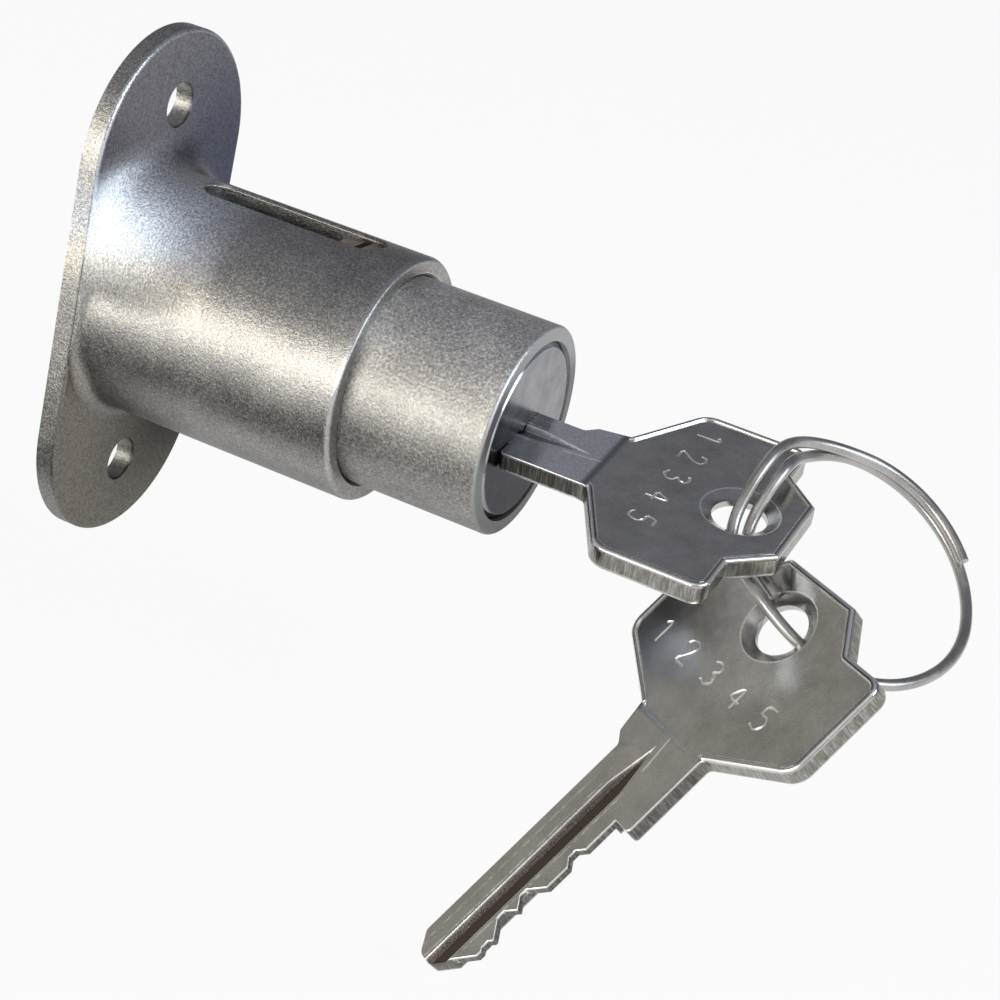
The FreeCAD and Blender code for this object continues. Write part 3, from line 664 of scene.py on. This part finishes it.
# How far the keys' edges are rounded, and what counts as an edge and as a tall face
EDGE_ROUND = 0.30
INNER_ROUND = 0.06
BLADE_ROUND = 0.09
FINE_ROUND = 0.04
EDGE_SEGMENTS = 4
EDGE_ANGLE = math.radians(28)
TALL_FACE = 0.5
LEVEL_SLACK = 0.02
# Up to this angle the finished key is shaded smooth
SMOOTH_ANGLE = math.radians(32)
# How close a corner is to count as on the rim's foot, on its top, and on its inner edge
FOOT_SLACK = 0.006
TOP_SLACK = 0.01
RIM_REACH = 0.3


def key_matrix(hole, direction, side):
    """The key's own frame in the lock's frame, in millimetres."""
    across = (side - direction * side.dot(direction)).normalized()
    facing = direction.cross(across)
    start = hole - direction * RING_HOLE_U - across * BOW_AXIS
    matrix = Matrix((direction, across, facing)).transposed().to_4x4()
    matrix.translation = start
    return matrix


def lock_key_side():
    """Which way the turned key's uncut edge points."""
    angle = math.radians(90) + KEY_TURNED
    return Vector((0, math.cos(angle), math.sin(angle)))


def lock_hole():
    """The middle of the ring hole in the key that is in the lock."""
    return Vector((PLUNGER_FRONT + RING_HOLE_U, 0, 0)) + lock_key_side() * BOW_AXIS


def stroke_points(corners):
    """Close points along one digit's line, with its corners a little eased."""
    points = []
    for start, end in zip(corners[:-1], corners[1:]):
        for step in range(STEPS_BETWEEN_POINTS):
            share = step / STEPS_BETWEEN_POINTS
            points.append((start[0] + (end[0] - start[0]) * share,
                           start[1] + (end[1] - start[1]) * share))
    points.append(corners[-1])
    for _ in range(EASING_ROUNDS):
        eased = [points[0]]
        for before, here, after in zip(points[:-2], points[1:-1], points[2:]):
            eased.append(tuple(0.25 * a + 0.5 * b + 0.25 * c for a, b, c in zip(before, here, after)))
        points = eased + [points[-1]]
    return points


def stamp_cutter(name, matrix):
    """Thin bars that press the digits into the key's face."""
    work = bmesh.new()
    for index, corners in enumerate(DIGITS):
        left = DIGIT_FIRST - DIGIT_PITCH * index
        path = []
        for across, up in stroke_points(corners):
            local = Vector((DIGIT_LOW + up, left - across, KEY_FACE + STROKE_RADIUS - STROKE_DEPTH))
            path.append(matrix @ local)
        work.from_mesh(tube("stroke", path, STROKE_RADIUS, STROKE_SIDES))
    mesh = bpy.data.meshes.new(name)
    work.to_mesh(mesh)
    work.free()
    return mesh


def weigh_key_edges(mesh, matrix):
    """Halve the faces that go round the hole, and say how far each edge is rounded."""
    inverse = matrix.inverted()
    work = bmesh.new()
    work.from_mesh(mesh)
    middle = matrix @ Vector((RING_HOLE_U, BOW_AXIS, 0)) * MM
    bmesh.ops.bisect_plane(work, geom=work.verts[:] + work.edges[:] + work.faces[:], dist=0.001 * MM,
                           plane_co=middle, plane_no=matrix.to_3x3() @ Vector((0, 1, 0)))
    layer = work.edges.layers.float.new("bevel_weight_edge")
    for edge in work.edges:
        if len(edge.link_faces) != 2 or edge.calc_face_angle_signed() < EDGE_ANGLE:
            continue
        lowest = min(abs((inverse @ (vertex.co / MM)).z) for vertex in edge.verts)
        spans = []
        for face in edge.link_faces:
            levels = [(inverse @ (vertex.co / MM)).z for vertex in face.verts]
            spans.append(max(levels) - min(levels))
        is_tall = max(spans) > TALL_FACE
        if lowest > KEY_HALF_THICKNESS - LEVEL_SLACK:
            edge[layer] = 1.0 if is_tall else INNER_ROUND / EDGE_ROUND
        elif is_tall and lowest > KEY_FACE - LEVEL_SLACK:
            edge[layer] = BLADE_ROUND / EDGE_ROUND
        else:
            edge[layer] = FINE_ROUND / EDGE_ROUND
    work.to_mesh(mesh)
    work.free()


def split_large_faces(mesh):
    """Cut faces with many corners into triangles."""
    work = bmesh.new()
    work.from_mesh(mesh)
    bmesh.ops.triangulate(work, faces=[face for face in work.faces if len(face.verts) > 4])
    work.to_mesh(mesh)
    work.free()


def mark_places(mesh, inverse):
    """Keep each corner's place on the key, and how far across the rim it is: 0 outside, 1 inside."""
    places = [inverse @ (vertex.co / MM) for vertex in mesh.vertices]
    foot = [place for place in places if abs(abs(place.z) - KEY_FACE) < FOOT_SLACK]
    tree = KDTree(len(foot))
    for index, place in enumerate(foot):
        tree.insert(place, index)
    tree.balance()
    shares = []
    for place in places:
        is_top = abs(place.z) > KEY_HALF_THICKNESS - TOP_SLACK
        shares.append(1.0 if is_top and tree.find(place)[2] < RIM_REACH else 0.0)
    store = mesh.attributes.new("key_place", "FLOAT_VECTOR", "POINT")
    store.data.foreach_set("vector", [number for place in places for number in place])
    store = mesh.attributes.new("rim_share", "FLOAT", "POINT")
    store.data.foreach_set("value", shares)


def make_key(node, name, body, matrix, material):
    """One key: soft stamped edges, a raised rim round the bow and five stamped digits."""
    key = new_object(name, clean_copy(node, name), material)
    weigh_key_edges(key.data, matrix)
    bevel = key.modifiers.new("soft_edges", "BEVEL")
    bevel.width = EDGE_ROUND * MM
    bevel.segments = EDGE_SEGMENTS
    bevel.limit_method = "WEIGHT"
    bevel.use_clamp_overlap = False
    baked(key)
    split_large_faces(key.data)
    cutter = new_object(name + "_stamp", stamp_cutter(name + "_stamp", matrix), material)
    cut = key.modifiers.new("stamp", "BOOLEAN")
    cut.operation = "DIFFERENCE"
    cut.solver = "EXACT"
    cut.use_self = True
    cut.object = cutter
    baked(key)
    bpy.data.objects.remove(cutter)
    key.data.shade_smooth()
    key.data.set_sharp_from_angle(angle=SMOOTH_ANGLE)
    weighted = key.modifiers.new("flat_faces", "WEIGHTED_NORMAL")
    weighted.keep_sharp = True
    weighted.weight = 80
    mark_places(key.data, matrix.inverted())
    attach(key, body)
    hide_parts(node)


# Key ring

# Angles are in degrees from the key in the lock. By the keys the two turns lie side by side in the
# ring's plane, and further round one lies on the other.
RING_WIRE = 1.0
RING_RADIUS = 10.65
RING_SPACING = 1.46
RING_PRESSED_SPACING = 1.05
RING_FIRST, RING_LAST = -40.0, 516.0
CROSSOVER_START, CROSSOVER_LENGTH = 168.0, 130.0
FALL_DELAY = 20.0
SIDE_BY_SIDE_UNTIL = 25.0
STACKING_LENGTH = 62.0
STACKED_ANGLE = math.radians(105)
# An S-shaped bend out of the ring's plane, where the wire passes the key in the lock
KINK_HEIGHT, KINK_WIDTH, KINK_ANGLE = 1.73, 19.7, 9.7
RING_LIFT = -1.87
# Where the turns lie on one another, the ring is this much smaller
RING_TUCK = 0.07
RING_STEPS = 520
RING_SIDES = 24
RING_SHARP_ANGLE = math.radians(40)


def ease(value):
    """A smooth rise from 0 to 1."""
    value = max(0.0, min(1.0, value))
    return value * value * (3 - 2 * value)


def ring_point(angle):
    """Where the ring's wire is, an angle in degrees from the key in the lock."""
    centre = lock_hole() + RING_OFFSET
    towards_key = lock_hole() - centre
    first = (towards_key - RING_NORMAL * towards_key.dot(RING_NORMAL)).normalized()
    second = first.cross(RING_NORMAL)
    layer = ease((angle - CROSSOVER_START) / CROSSOVER_LENGTH) - 0.5
    first_rise = ease((angle - SIDE_BY_SIDE_UNTIL) / STACKING_LENGTH)
    lowered = ease((angle - CROSSOVER_START - FALL_DELAY) / (CROSSOVER_LENGTH - 2 * FALL_DELAY))
    second_rise = ease((angle - 360 - SIDE_BY_SIDE_UNTIL) / STACKING_LENGTH)
    stacked = (first_rise - lowered + second_rise) * STACKED_ANGLE
    spacing = RING_SPACING - (RING_SPACING - RING_PRESSED_SPACING) * stacked / STACKED_ANGLE
    wrapped = (angle + 180) % 360 - 180
    kink = (wrapped - KINK_ANGLE) / KINK_WIDTH
    height = RING_LIFT + KINK_HEIGHT * kink * math.exp(0.5 - kink * kink / 2)
    height += layer * spacing * math.sin(stacked)
    radius = RING_RADIUS + layer * spacing * math.cos(stacked) - RING_TUCK * stacked / STACKED_ANGLE
    swing = math.radians(angle)
    spoke = first * math.cos(swing) + second * math.sin(swing)
    return centre + spoke * radius + RING_NORMAL * height


def make_ring(material):
    """The wire ring, wound one and a half times, with cut ends."""
    turned = RING_LAST - RING_FIRST
    points = [ring_point(RING_FIRST + turned * step / RING_STEPS) for step in range(RING_STEPS + 1)]
    ring = new_object("ring_wire", tube("ring_wire", points, RING_WIRE / 2, RING_SIDES), material)
    ring.data.shade_smooth()
    ring.data.set_sharp_from_angle(angle=RING_SHARP_ANGLE)
    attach(ring, "key_ring")
    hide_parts("key_ring")


def make_return_coil(material):
    """The return spring, shaded smooth with a mesh of its own; in the lock the plunger presses it
    together as it goes in.
    """
    coil = new_object("return_coil", clean_copy("return_spring", "return_coil"), material)
    coil.data.shade_smooth()
    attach(coil, "housing")
    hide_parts("return_spring")
    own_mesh(coil)


# Stage: places and sizes in millimetres for the floor and the card, in metres for the lamps

FLOOR_Z = -36.4
FLOOR_RADIUS = 4000.0
FLOOR_GLOW = 0.92
FLOOR_COLOUR = (0.9, 0.9, 0.9, 1.0)
# A dark card, seen only in reflections, that paints a band of shade into the metal: its corners, its
# lift off the floor and its tones.
CARD_CORNERS = ((-70, -72), (32, -72), (32, -21), (-70, -21))
CARD_LIFT = 0.3
CARD_STOPS = [(0.3, (0.03, 0.03, 0.035)), (0.7, (0.06, 0.06, 0.065))]
# The room's colour by height, from straight down at 0 to straight up at 1
ROOM_BEFORE = [
    (0.0, (0.9, 0.9, 0.9)), (0.49, (0.9, 0.9, 0.9)), (0.53, (0.62, 0.62, 0.61)),
    (0.62, (0.42, 0.42, 0.42)), (0.8, (0.31, 0.31, 0.33)), (1.0, (0.25, 0.255, 0.30))]
ROOM_BEHIND = [
    (0.0, (0.9, 0.9, 0.9)), (0.49, (0.9, 0.9, 0.9)), (0.53, (0.50, 0.50, 0.51)),
    (0.62, (0.26, 0.265, 0.29)), (0.8, (0.18, 0.185, 0.21)), (1.0, (0.24, 0.245, 0.285))]
ROOM_LEFT = (0.40, 0.385, 0.35)
# Each lamp's name, place, size, brightness of its face and colour
LAMPS = (
    ("front_box", (-0.22, -0.72, 0.085), (0.66, 0.29), 5.3, (1.0, 0.955, 0.87)),
    ("side_box", (0.78, -0.10, 0.44), (0.62, 0.36), 5.2, (0.84, 0.92, 1.0)),
    ("high_box", (0.10, -0.45, 0.62), (0.40, 0.40), 0.6, (1.0, 0.99, 0.97)),
)
LAMP_AIM = Vector((0.035, 0.0, 0.0))
# The photograph's viewpoint, found from the lock's own outlines
CAMERA_BACK = Vector((0.315, -0.868, 0.383))
CAMERA_RIGHT = Vector((0.883, 0.416, 0.218))
CAMERA_PLACE = Vector((98.70, -165.33, 66.25))
CAMERA_LENS = 80.863


def camera_or_gloss(tree):
    """1 for what the camera, a reflection or a clear piece sees, and 0 for light on the object."""
    path = add_node(tree, "LightPath").outputs
    return largest(tree, path["Is Camera Ray"], path["Is Glossy Ray"], path["Is Transmission Ray"])


def make_floor():
    """A plain pale floor that shows white and keeps a soft shadow."""
    mesh = bpy.data.meshes.new("floor")
    work = bmesh.new()
    bmesh.ops.create_circle(work, cap_ends=True, segments=96, radius=FLOOR_RADIUS * MM)
    work.to_mesh(mesh)
    work.free()
    material = bpy.data.materials.new("floor")
    material.use_nodes = True
    tree = material.node_tree
    tree.nodes.clear()
    pale = add_node(tree, "BsdfDiffuse", {"Color": FLOOR_COLOUR})
    white = add_node(tree, "Emission", {"Color": (1.0, 1.0, 1.0, 1.0), "Strength": 1.0})
    share = product(tree, camera_or_gloss(tree), FLOOR_GLOW)
    shown = add_node(tree, "MixShader", {0: share, 1: pale.outputs[0], 2: white.outputs[0]})
    clear = add_node(tree, "BsdfTransparent")
    behind = add_node(tree, "NewGeometry").outputs["Backfacing"]
    both = add_node(tree, "MixShader", {0: behind, 1: shown.outputs[0], 2: clear.outputs[0]})
    out = add_node(tree, "OutputMaterial")
    tree.links.new(both.outputs[0], out.inputs["Surface"])
    floor = new_object("floor", mesh, material)
    floor.location = (0, 0, FLOOR_Z * MM)


def make_shade_card():
    """A dark card on the floor before the lock, seen only in reflections, where it paints a band of
    shade into the metal.
    """
    mesh = bpy.data.meshes.new("reflected_shade_card")
    corners = [(x * MM, y * MM, (FLOOR_Z + CARD_LIFT) * MM) for x, y in CARD_CORNERS]
    mesh.from_pydata(corners, [], [(0, 1, 2, 3)])
    material = bpy.data.materials.new("reflected_shade_card")
    material.use_nodes = True
    tree = material.node_tree
    coordinates = add_node(tree, "TexCoord").outputs["Object"]
    colour = ramp(tree, noise(tree, coordinates, 60.0), CARD_STOPS)
    tree.links.new(colour, tree.nodes["Principled BSDF"].inputs["Base Color"])
    card = new_object("reflected_shade_card", mesh, material)
    card.visible_camera = False
    card.visible_diffuse = False
    card.visible_shadow = False
    card.visible_transmission = False


def make_world():
    """A studio room: pale at the horizon, dim overhead."""
    world = bpy.data.worlds.new("studio")
    world.use_nodes = True
    bpy.context.scene.world = world
    tree = world.node_tree
    tree.nodes.clear()
    direction = add_node(tree, "TexCoord").outputs["Generated"]
    parts = add_node(tree, "SeparateXYZ", {"Vector": direction}).outputs
    height = total(tree, product(tree, parts["Z"], 0.5), 0.5)
    colour = mix_colour(tree, rise(tree, parts["Y"], -0.5, 0.3),
                        ramp(tree, height, ROOM_BEFORE), ramp(tree, height, ROOM_BEHIND))
    aside = product(tree, fall(tree, parts["X"], -0.9, -0.5), rise(tree, parts["Z"], 0.05, 0.25))
    colour = mix_colour(tree, aside, colour, ROOM_LEFT)
    background = add_node(tree, "Background", {"Color": colour, "Strength": 1.0})
    out = add_node(tree, "OutputWorld")
    tree.links.new(background.outputs[0], out.inputs["Surface"])


def make_lamp(name, place, size, radiance, colour):
    """A soft box that faces the lock, given by how bright its face is."""
    data = bpy.data.lights.new(name, "AREA")
    data.shape = "RECTANGLE"
    data.size, data.size_y = size
    data.energy = radiance * math.pi * size[0] * size[1]
    data.color = colour
    lamp = bpy.data.objects.new(name, data)
    bpy.context.scene.collection.objects.link(lamp)
    lamp.location = place
    lamp.rotation_mode = "QUATERNION"
    lamp.rotation_quaternion = (LAMP_AIM - Vector(place)).to_track_quat("-Z", "Y")


def make_camera():
    """The camera, which sees the lock as the photograph does."""
    back = CAMERA_BACK.normalized()
    right = (CAMERA_RIGHT - back * CAMERA_RIGHT.dot(back)).normalized()
    matrix = Matrix((right, back.cross(right), back)).transposed().to_4x4()
    matrix.translation = CAMERA_PLACE * MM
    data = bpy.data.cameras.new("camera")
    data.sensor_width = 36.0
    data.lens = CAMERA_LENS
    data.clip_start = 0.01
    data.clip_end = 20.0
    camera = bpy.data.objects.new("camera", data)
    camera.matrix_world = matrix
    bpy.context.scene.collection.objects.link(camera)
    bpy.context.scene.camera = camera


# The finish of each carried-over node, by how its name starts. The keys, the ring and the return
# spring are made anew.
FINISHES = {
    "housing": "housing", "plunger_body": "plunger", "locking_bolt": "plunger", "plug": "plug",
    "rear_cap": "steel", "latch": "steel", "guide_screw": "screw", "chamber_cover": "brass",
    "key_pin": "brass", "driver_pin": "brass", "driver_spring": "spring", "retaining_clip": "spring"}


def main():
    """Paint the carried-over pieces, make the others anew and set the stage round them."""
    materials = make_materials()
    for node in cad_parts:
        for start, finish in FINISHES.items():
            if node.startswith(start):
                paint(node, materials[finish])
    lock_matrix = key_matrix(lock_hole(), Vector((1, 0, 0)), lock_key_side())
    spare_matrix = key_matrix(lock_hole() + RING_OFFSET + SPARE_OFFSET, SPARE_DIRECTION, SPARE_SIDE)
    make_key("lock_key", "key_in_lock", "plug", lock_matrix, materials["lock_key"])
    make_key("spare_key", "key_on_ring", "spare_key", spare_matrix, materials["spare_key"])
    make_ring(materials["ring"])
    make_return_coil(materials["spring"])
    make_floor()
    make_shade_card()
    make_world()
    for lamp in LAMPS:
        make_lamp(*lamp)
    make_camera()
    bpy.context.scene.view_settings.view_transform = "Standard"


main()
